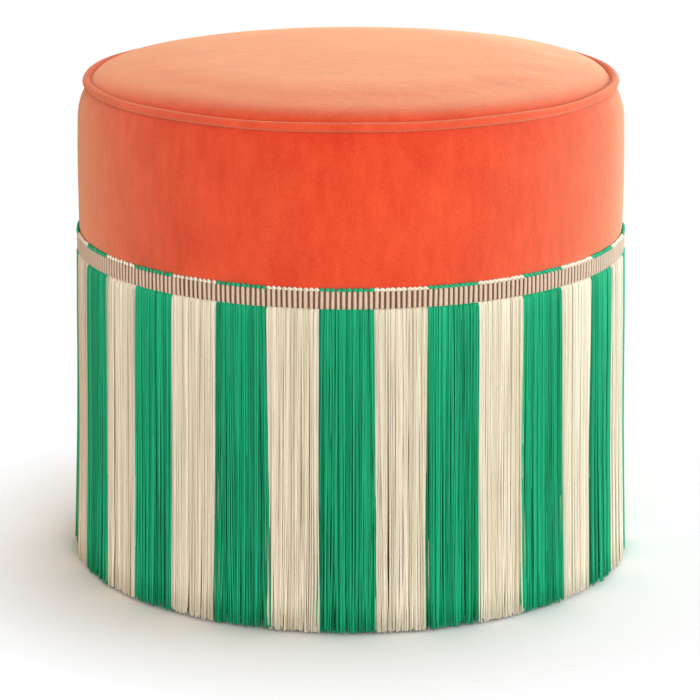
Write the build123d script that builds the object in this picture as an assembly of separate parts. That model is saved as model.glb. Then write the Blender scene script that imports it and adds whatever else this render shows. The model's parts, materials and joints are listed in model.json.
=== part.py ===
from build123d import *
import math
import os

# Round upholstered ottoman with a velvet seat and a long striped fringe.
# A drum of two plywood boards, timber uprights and a rolled hardboard wall carries foam,
# wadding and a sewn velvet cover with a piped top seam.  Below the velvet a plain lining
# goes on down and under the base.  A ribbed heading tape covers the join and holds the
# fringe, whose yarns loop over the tape's top edge and hang nearly to the floor in
# alternate stripes of two colours.
# Millimetres, +Z up.  The origin is on the floor, on the ottoman's axis.

# Overall form
OVERALL_HEIGHT = 396.0  # floor to the middle of the seat's crown
CROWN_RISE = 16.0  # middle of the seat above its piped seam
CROWN_BREAK = 110.0  # radius where the flat of the crown meets its rounded edge
CROWN_BREAK_SLOPE = 2.0  # degrees below level at that radius
SHOULDER_DROP = 32.0  # height over which the side rounds in to the seam
SHOULDER_REACH = 12.0  # how far in from the side the seam lies
SWELL = 2.5  # how far the velvet side stands out past the part behind the fringe
SWELL_RADIUS = 1200.0  # radius of the side's own gentle bow, in the upright plane
TUCK_HEIGHT = 3.0  # height over which the side is drawn in above the trim
TUCK_FULLNESS = 0.7  # share of the swell left where the tuck is TUCK_TURN of its height up
TUCK_TURN = 0.45

# Drum
BOARD_RADIUS = 195.0
BOARD_THICKNESS = 18.0
SEAT_FOAM_DEPTH = 74.0  # seam down to the seat board
WALL_THICKNESS = 3.0
WALL_SEAM_GAP = 1.5  # between the rolled wall's two ends
UPRIGHT_COUNT = 6
UPRIGHT_SIDE = 30.0
UPRIGHT_CLEARANCE = 0.2  # between an upright's outer corners and the wall

# Padding and cover
SIDE_FOAM = 10.0
WADDING = 4.0
VELVET = 1.5  # thickness of the velvet, and of the lining that is sewn to it
FLANGE_WIDTH = 10.0  # seam allowance, inwards from the seam
VELVET_LAP = 6.0  # velvet hidden behind the tape, down to its join with the lining
HEM_WIDTH = 22.0  # lining turned under the base board
HEM_CORNER = 5.0  # outer radius where the lining turns under
PIPING_RADIUS = 3.5
PIPING_CLOTH = 1.0
PIPING_TUCK_ANGLE = 240.0  # where the side band leaves the piping, degrees round it
SEAM_CLEARANCE = 0.1

# Trim
STRIPE_PAIRS = 17
FRONT = 270.0  # degrees round the axis to the middle of the front stripe
RIBS_PER_STRIPE = 10
FRINGE_CLEAR_OF_FLOOR = 2.0
FRINGE_LENGTH = 244.8  # lower edge of the tape to the longest tips
TAPE_HEIGHT = 13.5
TAPE_THICKNESS = 3.0
RIB_RELIEF = 1.1
RIB_SHARE = 0.74  # rib's width as a share of the distance between ribs
TAPE_JOINT_GAP = 0.4
YARN_BACKING = 1.5
PICOT_HEIGHT = 2.6
PICOT_SHOULDER = 1.2  # straight part of a picot loop, below its round top
STRAND_DEPTH = 3.4
STRAND_GAP = 0.7
STRAND_SET_BACK = 0.5  # strand behind the tape's ribs at the top
STRAND_CLEARANCE = 0.3  # strand off the cover, at its top
TIP_ZONE = 95.0  # lower part of the fringe, which splays more
KNEE_SPLAY = 2.0
TIP_SPLAY = 5.5
TIP_UNEVENNESS = 2.5
TIP_TAPER = 0.8  # tip width as a share of the strand's width

# Underside
GLIDE_COUNT = 6
GLIDE_HEIGHT = 5.0
GLIDE_RADIUS = 12.0
GLIDE_EDGE = 2.0
GLIDE_INSET = 40.0  # glide's centre from the board's edge
NAIL_RADIUS = 1.25
NAIL_HEAD_RADIUS = 5.0
NAIL_HEAD_THICKNESS = 1.2
NAIL_HEAD_LIFT = 2.3  # plastic below the nail's head
NAIL_LENGTH = 16.0
DUST_COVER = 0.8
DUST_COVER_LAP = 11.0  # dust cover over the turned hem
DUST_COVER_STEP = 1.5  # width of the step down on to the hem

# Fasteners
SCREW_RADIUS = 2.25
SCREW_HEAD_RADIUS = 4.5
SCREW_LENGTH = 50.0
SCREW_POINT = 5.0

# Radii, from the drum outwards
wall_radius = BOARD_RADIUS + WALL_THICKNESS
band_radius = wall_radius + SIDE_FOAM + VELVET
backing_radius = band_radius + YARN_BACKING
tape_radius = backing_radius + TAPE_THICKNESS
swell_radius = band_radius + SWELL
seam_radius = swell_radius - SHOULDER_REACH
flange_radius = seam_radius - FLANGE_WIDTH

# Heights, from the floor upwards
base_bottom = GLIDE_HEIGHT + DUST_COVER
base_top = base_bottom + BOARD_THICKNESS
hem_bottom = base_bottom - VELVET
tape_bottom = FRINGE_CLEAR_OF_FLOOR + FRINGE_LENGTH
tape_top = tape_bottom + TAPE_HEIGHT
picot_top = tape_top + PICOT_HEIGHT
tuck_top = picot_top + TUCK_HEIGHT
velvet_bottom = tape_top - VELVET_LAP
seam_height = OVERALL_HEIGHT - CROWN_RISE
shoulder_height = seam_height - SHOULDER_DROP
seat_board_top = seam_height - SEAT_FOAM_DEPTH
seat_board_bottom = seat_board_top - BOARD_THICKNESS

# Piping, on the line of its own flange
flange_thickness = 2 * PIPING_CLOTH
piping_x = seam_radius + PIPING_RADIUS
piping_z = seam_height - VELVET - PIPING_CLOTH

# Fringe counts
stripe_count = 2 * STRIPE_PAIRS
stripe_angle = 360.0 / stripe_count
rib_angle = stripe_angle / RIBS_PER_STRIPE

# The two arcs of the crown, tangent where they meet
break_slope = math.radians(CROWN_BREAK_SLOPE)
flat_arc_radius = CROWN_BREAK / math.sin(break_slope)
break_drop = CROWN_BREAK * math.tan(break_slope / 2)
edge_run = seam_radius - CROWN_BREAK
edge_slope = 2 * math.atan((CROWN_RISE - break_drop) / edge_run) - break_slope
edge_arc_radius = edge_run / (math.sin(edge_slope) - math.sin(break_slope))


def crown(r):
    """Height of the seat's outer surface at radius r."""
    if r <= CROWN_BREAK:
        return OVERALL_HEIGHT - flat_arc_radius + math.sqrt(flat_arc_radius**2 - r**2)
    centre_x = CROWN_BREAK - edge_arc_radius * math.sin(break_slope)
    centre_z = OVERALL_HEIGHT - break_drop - edge_arc_radius * math.cos(break_slope)
    return centre_z + math.sqrt(edge_arc_radius**2 - (r - centre_x) ** 2)


def crown_arc(r_start, r_end, inset):
    """Arc of the crown between two radii in one of its two zones, lowered by inset."""
    radii = (r_start, (r_start + r_end) / 2, r_end)
    return ThreePointArc(*[(r, crown(r) - inset) for r in radii])


def crown_edges(r_end, inset):
    """The crown from the axis out to r_end, lowered by inset."""
    return [crown_arc(0, CROWN_BREAK, inset), crown_arc(CROWN_BREAK, r_end, inset)]


def around_piping(angle, gap):
    """Point at a gap outside the piping, angle degrees round it."""
    reach = PIPING_RADIUS + SEAM_CLEARANCE + gap
    turn = math.radians(angle)
    return (piping_x + reach * math.cos(turn), piping_z + reach * math.sin(turn))


def rounding_arc(start, end):
    """Arc from start that runs down the side's own line at end."""
    reach = end[0] - start[0]
    drop = start[1] - end[1]
    radius = (reach**2 + drop**2) / (2 * reach)
    half = math.asin(drop / radius) / 2
    middle = (end[0] - radius * (1 - math.cos(half)), end[1] + radius * math.sin(half))
    return ThreePointArc(start, middle, end)


def chain(points):
    """Straight lines through the points."""
    return [Line(a, b) for a, b in zip(points, points[1:])]


def turned(edges):
    """Solid of revolution about Z of a closed outline in radius and height."""
    return revolve(Plane.XZ * make_face(edges), Axis.Z)


def ring(inner, outer, bottom, top):
    """Plain ring, or a disc where inner is 0."""
    corners = [(inner, bottom), (outer, bottom), (outer, top), (inner, top)]
    return turned(chain(corners + corners[:1]))


def round_the_axis(piece, count, start=0.0):
    """Copies of a piece, evenly spaced round Z, as separate solids."""
    step = 360.0 / count
    return [Rot(0, 0, start + step * i) * piece for i in range(count)]


def group(pieces):
    """Separate solids that share one node."""
    return Compound(children=list(pieces))


def velvet_edges(inset):
    """Velvet side from under the piping to its join with the lining, moved in by inset.

    It rounds out from the seam, bows gently and is drawn in above the trim.
    """
    swell = swell_radius - inset
    straight = band_radius - inset
    leaving = around_piping(PIPING_TUCK_ANGLE, inset)
    bow_half = (shoulder_height - tuck_top) / 2
    bow = SWELL_RADIUS - math.sqrt(SWELL_RADIUS**2 - bow_half**2)
    tuck_middle = (straight + SWELL * TUCK_FULLNESS, picot_top + TUCK_HEIGHT * TUCK_TURN)
    return [
        rounding_arc(leaving, (swell, shoulder_height)),
        ThreePointArc(
            (swell, shoulder_height),
            (swell + bow, shoulder_height - bow_half),
            (swell, tuck_top),
        ),
        ThreePointArc((swell, tuck_top), tuck_middle, (straight, picot_top)),
        Line((straight, picot_top), (straight, velvet_bottom)),
    ]


def lining_edges(inset):
    """Lining from its join with the velvet, straight down and turned under the base."""
    straight = band_radius - inset
    corner = HEM_CORNER - inset
    corner_centre = (straight - corner, hem_bottom + HEM_CORNER)
    diagonal = corner * math.sqrt(0.5)
    corner_middle = (corner_centre[0] + diagonal, corner_centre[1] - diagonal)
    corner_end = (corner_centre[0], corner_centre[1] - corner)
    return [
        Line((straight, velvet_bottom), (straight, corner_centre[1])),
        ThreePointArc((straight, corner_centre[1]), corner_middle, corner_end),
    ]


def seam_edges(inset):
    """Side band's seam allowance, from its cut edge to where it leaves the piping."""
    lowered = VELVET + flange_thickness + SEAM_CLEARANCE + inset
    height_below = seam_height - lowered - piping_z
    reach = PIPING_RADIUS + SEAM_CLEARANCE + inset
    meeting = 180.0 - math.degrees(math.asin(height_below / reach))
    turn_start = around_piping(meeting, inset)
    turn_middle = around_piping((meeting + PIPING_TUCK_ANGLE) / 2, inset)
    turn_end = around_piping(PIPING_TUCK_ANGLE, inset)
    return [
        Line((flange_radius, crown(flange_radius) - lowered), turn_start),
        ThreePointArc(turn_start, turn_middle, turn_end),
    ]


def make_screw():
    """Countersunk wood screw, its head's top at the origin, pointing down."""
    shank_end = SCREW_POINT - SCREW_LENGTH
    outline = [
        (0, 0),
        (SCREW_HEAD_RADIUS, 0),
        (SCREW_RADIUS, SCREW_RADIUS - SCREW_HEAD_RADIUS),
        (SCREW_RADIUS, shank_end),
        (0, -SCREW_LENGTH),
        (0, 0),
    ]
    return turned(chain(outline))


def upright_centre():
    """Radius of an upright's middle: its outer corners just clear the wall."""
    corner_radius = BOARD_RADIUS - UPRIGHT_CLEARANCE
    outer_face = math.sqrt(corner_radius**2 - (UPRIGHT_SIDE / 2) ** 2)
    return outer_face - UPRIGHT_SIDE / 2


def make_screws():
    """Screws through the seat board and the base board into the uprights' ends."""
    screw = make_screw()
    r = upright_centre()
    seat = round_the_axis(Pos(r, 0, seat_board_top) * screw, UPRIGHT_COUNT)
    base = round_the_axis(Pos(r, 0, base_bottom) * Rot(180, 0, 0) * screw, UPRIGHT_COUNT)
    return group(seat), group(base)


def make_nails():
    """Glide nails: a flat head held in each plastic glide, and a pointed shank."""
    shank_start = NAIL_HEAD_LIFT + NAIL_HEAD_THICKNESS
    shank_end = shank_start + NAIL_LENGTH
    outline = [
        (0, NAIL_HEAD_LIFT),
        (NAIL_HEAD_RADIUS, NAIL_HEAD_LIFT),
        (NAIL_HEAD_RADIUS, shank_start),
        (NAIL_RADIUS, shank_start),
        (NAIL_RADIUS, shank_end - 2 * NAIL_RADIUS),
        (0, shank_end),
        (0, NAIL_HEAD_LIFT),
    ]
    nail = Pos(BOARD_RADIUS - GLIDE_INSET, 0, 0) * turned(chain(outline))
    return group(round_the_axis(nail, GLIDE_COUNT, 180.0 / GLIDE_COUNT))


def make_glides(nails):
    """Plastic glides that the ottoman stands on, moulded round their nails' heads."""
    foot = GLIDE_RADIUS - GLIDE_EDGE
    rounded = GLIDE_EDGE * math.sqrt(0.5)
    edges = [
        Line((0, 0), (foot, 0)),
        ThreePointArc(
            (foot, 0),
            (foot + rounded, GLIDE_EDGE - rounded),
            (GLIDE_RADIUS, GLIDE_EDGE),
        ),
        *chain([(GLIDE_RADIUS, GLIDE_EDGE), (GLIDE_RADIUS, GLIDE_HEIGHT), (0, GLIDE_HEIGHT), (0, 0)]),
    ]
    glide = Pos(BOARD_RADIUS - GLIDE_INSET, 0, 0) * turned(edges)
    places = round_the_axis(glide, GLIDE_COUNT, 180.0 / GLIDE_COUNT)
    return [place - nails for place in places]


def make_boards(seat_cutters, base_cutters):
    """Round plywood boards with the holes of what is driven into them."""
    seat = ring(0, BOARD_RADIUS, seat_board_bottom, seat_board_top) - seat_cutters
    base = ring(0, BOARD_RADIUS, base_bottom, base_top) - base_cutters
    return seat, base


def make_uprights(screws):
    """Square timber uprights between the boards, drilled by their screws."""
    length = seat_board_bottom - base_top
    middle = base_top + length / 2
    upright = Pos(upright_centre(), 0, middle) * Box(UPRIGHT_SIDE, UPRIGHT_SIDE, length)
    return [place - screws for place in round_the_axis(upright, UPRIGHT_COUNT)]


def make_wall():
    """Hardboard rolled round the boards; its two ends meet on the rear upright."""
    wall = ring(BOARD_RADIUS, wall_radius, base_bottom, seat_board_top)
    rear = Rot(0, 0, 90) * Pos(wall_radius, 0, (base_bottom + seat_board_top) / 2)
    seam = rear * Box(4 * WALL_THICKNESS, WALL_SEAM_GAP, 2 * OVERALL_HEIGHT)
    return wall - seam


def make_core():
    """Everything inside the velvet cover, as one solid that the padding is cut from."""
    seam = seam_edges(VELVET)
    sides = velvet_edges(VELVET) + lining_edges(VELVET)
    step = Line((flange_radius, crown(flange_radius) - VELVET), seam[0] @ 0)
    floor_line = chain([sides[-1] @ 1, (0, base_bottom), (0, OVERALL_HEIGHT - VELVET)])
    return turned(crown_edges(flange_radius, VELVET) + [step] + seam + sides + floor_line)


def make_padding(core):
    """Side foam, crowned seat foam and the wadding between it and the cover."""
    above = ring(0, 2 * band_radius, seat_board_top, 2 * OVERALL_HEIGHT)
    drum = ring(0, wall_radius, base_bottom, seat_board_top)
    side_foam = core - [above, drum]
    foam_inset = VELVET + flange_thickness + VELVET + WADDING / 2
    foam_side = band_radius - VELVET - WADDING
    foam_edge = flange_radius
    edge_point = (foam_edge, crown(foam_edge) - foam_inset)
    outline = crown_edges(foam_edge, foam_inset) + [
        rounding_arc(edge_point, (foam_side, shoulder_height)),
        *chain(
            [
                (foam_side, shoulder_height),
                (foam_side, seat_board_top),
                (0, seat_board_top),
                (0, OVERALL_HEIGHT - foam_inset),
            ]
        ),
    ]
    seat_foam = turned(outline)
    wadding = (core & above) - seat_foam
    return side_foam, seat_foam, wadding


def make_seat_cover():
    """Round velvet top panel, crowned, out to the piped seam."""
    upper = crown_edges(seam_radius, 0)
    lower = crown_edges(seam_radius, VELVET)
    closing = [
        Line((seam_radius, seam_height), (seam_radius, seam_height - VELVET)),
        Line((0, OVERALL_HEIGHT - VELVET), (0, OVERALL_HEIGHT)),
    ]
    return turned(upper + lower + closing)


def make_piping():
    """Piping cord, and the cloth sewn round it with its flat flange."""
    centre = Pos(piping_x, piping_z)
    cord = centre * Circle(PIPING_RADIUS - PIPING_CLOTH)
    flange_end = seam_radius + PIPING_CLOTH
    top = crown_arc(flange_radius, flange_end, VELVET)
    bottom = crown_arc(flange_radius, flange_end, VELVET + flange_thickness)
    ends = [Line(top @ 0, bottom @ 0), Line(top @ 1, bottom @ 1)]
    cloth = centre * Circle(PIPING_RADIUS) + make_face([top, bottom] + ends) - cord
    return revolve(Plane.XZ * cord, Axis.Z), revolve(Plane.XZ * cloth, Axis.Z)


def make_side_band():
    """Velvet side: seam allowance, rounded shoulder and an edge behind the tape."""
    outer = seam_edges(0) + velvet_edges(0)
    inner = seam_edges(VELVET) + velvet_edges(VELVET)
    ends = [Line(outer[0] @ 0, inner[0] @ 0), Line(outer[-1] @ 1, inner[-1] @ 1)]
    return turned(outer + inner + ends)


def make_lining_band():
    """Lining below the velvet, straight down behind the fringe and turned under."""
    outer = lining_edges(0)
    inner = lining_edges(VELVET)
    hem_edge = BOARD_RADIUS - HEM_WIDTH
    hem = chain([outer[-1] @ 1, (hem_edge, hem_bottom), (hem_edge, base_bottom), inner[-1] @ 1])
    return turned(outer + inner + [Line(outer[0] @ 0, inner[0] @ 0)] + hem)


def make_dust_cover(nails):
    """Thin cloth under the base: flat on the board, stepping down over the hem."""
    hem_edge = BOARD_RADIUS - HEM_WIDTH
    rim = hem_edge + DUST_COVER_LAP
    step_start = hem_edge - 2 * DUST_COVER_STEP
    step_end = hem_edge - DUST_COVER_STEP
    outline = [
        (0, base_bottom),
        (step_start, base_bottom),
        (step_end, hem_bottom),
        (rim, hem_bottom),
        (rim, hem_bottom - DUST_COVER),
        (step_end, hem_bottom - DUST_COVER),
        (step_start, base_bottom - DUST_COVER),
        (0, base_bottom - DUST_COVER),
        (0, base_bottom),
    ]
    return turned(chain(outline)) - nails


def make_heading_tape():
    """Ribbed tape with an upright rib over each yarn, butted at the back."""
    valley = tape_radius - RIB_RELIEF
    edges = []
    for i in range(stripe_count * RIBS_PER_STRIPE):
        shares = (0.5 - RIB_SHARE / 2, 0.5, 0.5 + RIB_SHARE / 2, 1.5 - RIB_SHARE / 2)
        angles = [math.radians(rib_angle * (i + share)) for share in shares]
        radii = (valley, tape_radius, valley, valley)
        points = [(r * math.cos(a), r * math.sin(a)) for r, a in zip(radii, angles)]
        edges += [ThreePointArc(*points[:3]), Line(*points[2:])]
    section = make_face(edges) - Circle(backing_radius)
    tape = Pos(0, 0, tape_bottom) * extrude(section, TAPE_HEIGHT, dir=(0, 0, 1))
    joint = Rot(0, 0, 90) * Pos(tape_radius, 0, tape_bottom)
    return tape - joint * Box(4 * TAPE_THICKNESS, TAPE_JOINT_GAP, 4 * TAPE_HEIGHT)


def strand_section(width, outer, height):
    """Four-sided cross-section of a hanging strand, at its height."""
    half = width / 2
    inner = outer - STRAND_DEPTH
    corners = [(inner, -half), (outer, -half), (outer, half), (inner, half)]
    return Pos(0, 0, height) * make_face(Polyline(*corners, close=True))


def make_strand(number):
    """One strand: hangs from the tape, leans out a little and splays at its tip."""
    top_outer = tape_radius - STRAND_SET_BACK
    width = math.radians(rib_angle) * top_outer - STRAND_GAP
    tip_share = (7 * number % RIBS_PER_STRIPE) / RIBS_PER_STRIPE
    tip = FRINGE_CLEAR_OF_FLOOR + TIP_UNEVENNESS * tip_share
    sections = [
        strand_section(width, top_outer, tape_bottom),
        strand_section(width, top_outer + KNEE_SPLAY, FRINGE_CLEAR_OF_FLOOR + TIP_ZONE),
        strand_section(width * TIP_TAPER, top_outer + TIP_SPLAY, tip),
    ]
    return loft(sections, ruled=True)


def make_picot():
    """Small round-topped loop of yarn that stands on the tape's upper edge."""
    half = (math.radians(rib_angle) * backing_radius - STRAND_GAP) / 2
    shoulder = tape_top + PICOT_SHOULDER
    edges = [
        *chain([(-half, shoulder), (-half, tape_top), (half, tape_top), (half, shoulder)]),
        ThreePointArc((half, shoulder), (0, picot_top), (-half, shoulder)),
    ]
    reach = YARN_BACKING + TAPE_THICKNESS - RIB_RELIEF - STRAND_CLEARANCE
    plane = Plane(origin=(band_radius + STRAND_CLEARANCE, 0, 0), x_dir=(0, 1, 0), z_dir=(1, 0, 0))
    return extrude(plane * make_face(edges), reach)


def make_stripe():
    """One stripe of fringe: picot loops, the yarns behind the tape, and the strands."""
    gap_angle = math.degrees(SEAM_CLEARANCE / band_radius)
    backing = ring(band_radius, backing_radius, tape_bottom - 2 * YARN_BACKING, tape_top + YARN_BACKING)
    sector_reach = 2 * backing_radius
    half_sector = math.radians(stripe_angle - gap_angle) / 2
    far = [(sector_reach, side * sector_reach * math.tan(half_sector)) for side in (-1, 1)]
    sector = extrude(make_face(Polyline((0, 0), *far, close=True)), OVERALL_HEIGHT)
    pieces = [backing & sector]
    for i in range(RIBS_PER_STRIPE):
        turn = Rot(0, 0, rib_angle * (i + 0.5) - stripe_angle / 2)
        pieces += [turn * make_strand(i), turn * make_picot()]
    return Part() + pieces


def make_fringe():
    """The two colours of fringe, each a ring of separate stripes."""
    stripe = make_stripe()
    green = round_the_axis(stripe, STRIPE_PAIRS, FRONT)
    cream = round_the_axis(stripe, STRIPE_PAIRS, FRONT + stripe_angle)
    return group(green), group(cream)


def make_all():
    """Every node of the ottoman, by name."""
    seat_screws, base_screws = make_screws()
    nails = make_nails()
    seat_board, base_board = make_boards(seat_screws, [base_screws, nails])
    side_foam, seat_foam, wadding = make_padding(make_core())
    piping_cord, piping_cover = make_piping()
    green_fringe, cream_fringe = make_fringe()
    nodes = {
        "base_board": base_board,
        "seat_board": seat_board,
        "drum_wall": make_wall(),
        "seat_board_screws": seat_screws,
        "base_board_screws": base_screws,
        "side_foam": side_foam,
        "seat_foam": seat_foam,
        "seat_wadding": wadding,
        "seat_cover": make_seat_cover(),
        "piping_cord": piping_cord,
        "piping_cover": piping_cover,
        "side_band": make_side_band(),
        "lining_band": make_lining_band(),
        "heading_tape": make_heading_tape(),
        "green_fringe": green_fringe,
        "cream_fringe": cream_fringe,
        "dust_cover": make_dust_cover(nails),
        "glide_nails": nails,
    }
    for number, upright in enumerate(make_uprights([seat_screws, base_screws]), 1):
        nodes[f"upright_{number}"] = upright
    for number, glide in enumerate(make_glides(nails), 1):
        nodes[f"glide_{number}"] = glide
    return nodes


os.makedirs("parts", exist_ok=True)
for name, shape in make_all().items():
    export_step(shape, f"parts/{name}.step")
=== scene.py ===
"""Fringed velvet ottoman: the looks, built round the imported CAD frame.

Metres, +Z up, origin on the floor on the ottoman's axis, -Y towards the viewer.
"""

import json
import logging
import math
from dataclasses import dataclass, field
from enum import Enum
from typing import Any, ClassVar

import bpy
import numpy as np
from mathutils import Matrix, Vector


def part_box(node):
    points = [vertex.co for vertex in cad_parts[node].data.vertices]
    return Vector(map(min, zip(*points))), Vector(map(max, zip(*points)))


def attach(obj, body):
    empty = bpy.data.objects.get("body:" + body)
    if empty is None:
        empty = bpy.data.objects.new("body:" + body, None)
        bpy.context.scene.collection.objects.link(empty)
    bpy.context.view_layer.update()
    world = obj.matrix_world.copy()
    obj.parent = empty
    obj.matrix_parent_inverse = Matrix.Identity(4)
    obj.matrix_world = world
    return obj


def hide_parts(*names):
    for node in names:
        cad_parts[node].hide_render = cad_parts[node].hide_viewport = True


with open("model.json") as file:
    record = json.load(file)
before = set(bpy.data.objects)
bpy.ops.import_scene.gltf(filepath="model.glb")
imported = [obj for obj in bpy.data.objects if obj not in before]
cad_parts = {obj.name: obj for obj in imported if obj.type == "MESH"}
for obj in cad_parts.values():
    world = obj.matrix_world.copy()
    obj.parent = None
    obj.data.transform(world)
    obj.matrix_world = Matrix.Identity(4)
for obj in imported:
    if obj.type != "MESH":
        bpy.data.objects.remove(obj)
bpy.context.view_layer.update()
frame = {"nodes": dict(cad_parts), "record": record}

LOG = logging.getLogger("ottoman")
BODY = "root"
TAU = 2.0 * math.pi
MILLIMETRE = 0.001
DECIMETRE = 0.1
Triple = tuple[float, float, float]
Colour = Triple
Point = tuple[float, float]
Span = tuple[float, float]
Socket = bpy.types.NodeSocket


class YarnColour(Enum):
    """The two colours of fringe yarn, in the order in which they go round."""

    GREEN = 0
    CREAM = 1


class FringeLayer(Enum):
    """Layers of hanging yarn: yarns to a rib, depth behind the tape's face, yarn radius."""

    FRONT = (4, 0.0006, 0.00052)
    MIDDLE = (3, 0.0014, 0.00062)
    BACK = (4, 0.0026, 0.00058)

    def __init__(self, to_a_rib: int, depth: float, yarn: float) -> None:
        """Keeps the layer's sizes by name.

        Args:
            to_a_rib: Yarns that leave the tape at one rib.
            depth: Depth behind the tape's face.
            yarn: Radius of a yarn.
        """
        self.to_a_rib = to_a_rib
        self.depth = depth
        self.yarn = yarn


class GrainAxis(Enum):
    """Direction along which a board's or a timber's grain runs, as stretch of the pattern."""

    X = (1.0, 14.0, 14.0)
    Z = (14.0, 14.0, 1.0)


def reach(node: str) -> float:
    """How far a node of the frame reaches from the axis."""
    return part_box(node)[1].x


def top(node: str) -> float:
    """Height of a node's highest point."""
    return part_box(node)[1].z


def bottom(node: str) -> float:
    """Height of a node's lowest point."""
    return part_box(node)[0].z


@dataclass(frozen=True)
class Sizes:
    """Sizes that the pieces share, in metres, read from the frame where a node has them."""

    height: float = top("seat_cover")
    crown_break: float = 0.110
    crown_break_slope: float = math.radians(2.0)
    velvet: float = 0.0015
    seam_radius: float = reach("seat_cover")
    seam_height: float = bottom("seat_cover") + velvet
    piping_radius: float = (reach("piping_cover") - reach("seat_cover")) / 2
    piping_height: float = (bottom("piping_cord") + top("piping_cord")) / 2
    shoulder_drop: float = 0.032
    swell: float = 0.0025
    side_reach: float = reach("side_band")
    velvet_bottom: float = bottom("side_band")
    band_radius: float = reach("lining_band")
    hem_bottom: float = bottom("lining_band")
    hem_corner: float = 0.0050
    hem_inset: float = 0.022
    hem_edge: float = reach("base_board") - hem_inset
    tape_bottom: float = bottom("heading_tape")
    tape_top: float = top("heading_tape")
    tape_radius: float = reach("heading_tape")
    tape_thickness: float = 0.0030
    picot_top: float = top("green_fringe")
    fringe_tip: float = bottom("green_fringe")
    stripes: int = 34
    ribs_per_stripe: int = 10

    @property
    def swell_radius(self) -> float:
        """Radius of the velvet side at its shoulder and above the trim."""
        return self.band_radius + self.swell

    @property
    def rib_count(self) -> int:
        """Ribs round the whole tape."""
        return self.stripes * self.ribs_per_stripe

    @property
    def rib_angle(self) -> float:
        """Angle from one rib to the next, in radians."""
        return TAU / self.rib_count

    @property
    def first_rib(self) -> float:
        """Angle of the first rib of the front green stripe, in radians."""
        return 1.5 * math.pi - (self.ribs_per_stripe - 1) / 2 * self.rib_angle

    def crown(self, r: np.ndarray) -> np.ndarray:
        """Height of the seat: a wide flat arc, then a tighter arc tangent to it.

        Args:
            r: Radii from the axis.

        Returns:
            The seat's height at each radius.
        """
        slope = self.crown_break_slope
        flat = self.crown_break / math.sin(slope)
        drop = self.crown_break * math.tan(slope / 2)
        run = self.seam_radius - self.crown_break
        rise = self.height - self.seam_height
        edge_slope = 2 * math.atan((rise - drop) / run) - slope
        edge = run / (math.sin(edge_slope) - math.sin(slope))
        centre_r = self.crown_break - edge * math.sin(slope)
        centre_z = self.height - drop - edge * math.cos(slope)
        inner = self.height - flat + np.sqrt(flat**2 - np.minimum(r, self.crown_break) ** 2)
        outer = centre_z + np.sqrt(edge**2 - (np.maximum(r, self.crown_break) - centre_r) ** 2)
        return np.where(r <= self.crown_break, inner, outer)


SIZES = Sizes()
# Waves to a turn, from the first number up to below the second, and the most that a wave's phase
# shifts for each unit of the second coordinate.
WAVE_COUNTS = (2, 15)
WAVE_PULL = 60.0


def smooth_noise(angle: np.ndarray, across: np.ndarray, seed: int, waves: int = 9) -> np.ndarray:
    """Gentle unevenness round a ring: a sum of sines of whole-number frequency.

    Args:
        angle: Angles round the axis.
        across: Second coordinate, which shifts each wave's phase.
        seed: Seed of the waves.
        waves: How many waves are added.

    Returns:
        Values of about -1 to 1, the same at both ends of the ring.
    """
    rng = np.random.default_rng(seed)
    counts = rng.integers(*WAVE_COUNTS, waves)
    pulls = rng.uniform(-WAVE_PULL, WAVE_PULL, waves)
    phases = rng.uniform(0, TAU, waves)
    angle, across = np.broadcast_arrays(angle, across)
    turns = angle[..., None] * counts + across[..., None] * pulls + phases
    return np.sin(turns).sum(axis=-1) / math.sqrt(waves)


def arc(start: Point, middle: Point, end: Point, count: int) -> np.ndarray:
    """Points along the circle through three points, from the first to the last.

    Args:
        start: First point, as radius and height.
        middle: Any point between.
        end: Last point.
        count: How many points.

    Returns:
        An array of count points.
    """
    (ax, ay), (bx, by), (cx, cy) = start, middle, end
    d = 2 * (ax * (by - cy) + bx * (cy - ay) + cx * (ay - by))
    squares = (ax**2 + ay**2, bx**2 + by**2, cx**2 + cy**2)
    ux = (squares[0] * (by - cy) + squares[1] * (cy - ay) + squares[2] * (ay - by)) / d
    uy = (squares[0] * (cx - bx) + squares[1] * (ax - cx) + squares[2] * (bx - ax)) / d
    angles = np.unwrap([math.atan2(y - uy, x - ux) for x, y in (start, middle, end)])
    t = np.linspace(angles[0], angles[2], count)
    radius = math.hypot(ax - ux, ay - uy)
    return np.stack([ux + radius * np.cos(t), uy + radius * np.sin(t)], axis=1)


def straight(start: Point, end: Point, count: int) -> np.ndarray:
    """Evenly spaced points from start to end."""
    return np.linspace(start, end, count)


def joined(*runs: np.ndarray) -> np.ndarray:
    """Runs of profile points end to end, without the repeated joints."""
    return np.concatenate([runs[0]] + [run[1:] for run in runs[1:]])


def turned(profile: np.ndarray, count: int) -> np.ndarray:
    """Profile of radius and height carried round the axis.

    Args:
        profile: Points as (radius, height).
        count: Steps round the axis.

    Returns:
        Grid of points, count by profile length by 3.
    """
    a = np.linspace(0, TAU, count, endpoint=False)[:, None]
    r, z = profile[None, :, 0], profile[None, :, 1]
    return np.stack(np.broadcast_arrays(r * np.cos(a), r * np.sin(a), z), axis=2)


def ring_points(r: np.ndarray, angle: np.ndarray, z: np.ndarray) -> np.ndarray:
    """Points from radius, angle and height, which may be of different shapes."""
    return np.stack(np.broadcast_arrays(r * np.cos(angle), r * np.sin(angle), z), axis=-1)


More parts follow.
